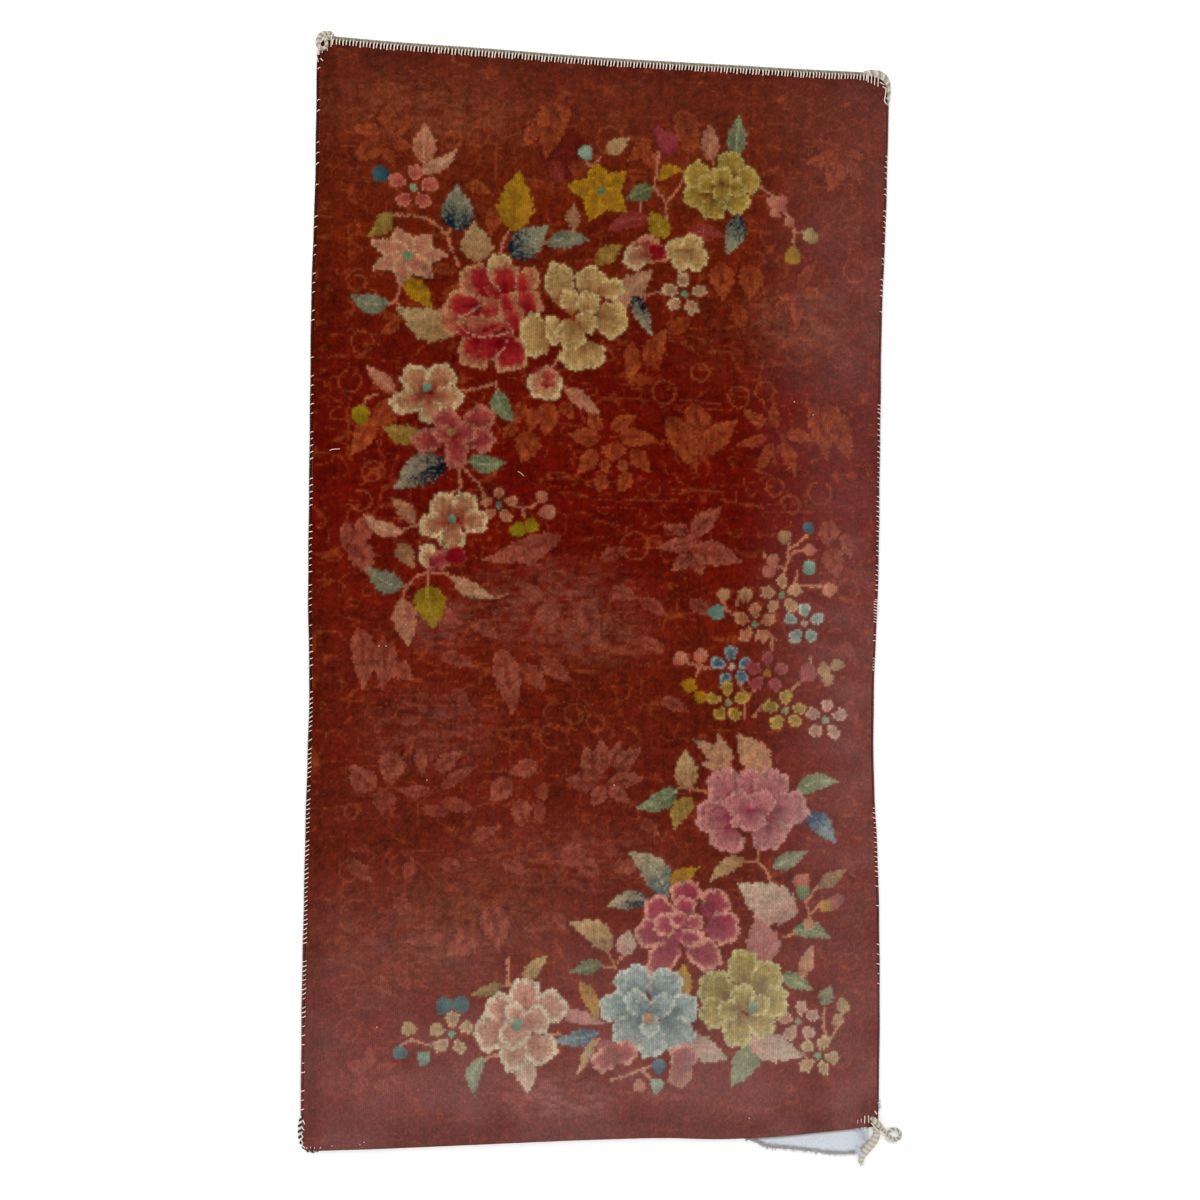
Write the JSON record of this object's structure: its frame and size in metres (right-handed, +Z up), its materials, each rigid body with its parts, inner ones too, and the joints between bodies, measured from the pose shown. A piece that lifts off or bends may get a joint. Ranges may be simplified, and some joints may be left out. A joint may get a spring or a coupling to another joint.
{
  "type": "chinese art deco rug",
  "caption": "Flat hand-knotted wool scatter rug with overcast side cords, a whipped end cord, a cotton web tucked under one end and plaited corners.",
  "frame": {"origin": "middle of the rug's underside, on the plane that it lies on", "axes": "+Z up out of the pile, +Y along the rug's length towards the end with the white cord, +X to its right"},
  "size_m": [0.9579, 1.7777, 0.0186],
  "materials": {
    "wool_pile": "worn sheared wool pile, rust red with coloured flower sprays",
    "edge_yarn": "overcast wool yarn with white whip stitches",
    "cotton_cord": "off-white plied cotton",
    "cotton_web": "undyed plain-woven cotton"
  },
  "bodies": {
    "root": {"rug_pile": "wool_pile", "side_cord_left": "edge_yarn", "side_cord_right": "edge_yarn", "end_cord_top": "cotton_cord", "end_web": "cotton_web", "curl_top_left": "cotton_cord", "plait_top_right": "cotton_cord", "plait_bottom_left": "cotton_cord", "loop_bottom_right": "cotton_cord", "tassel_bottom_right": "cotton_cord"}
  },
  "joints": []
}
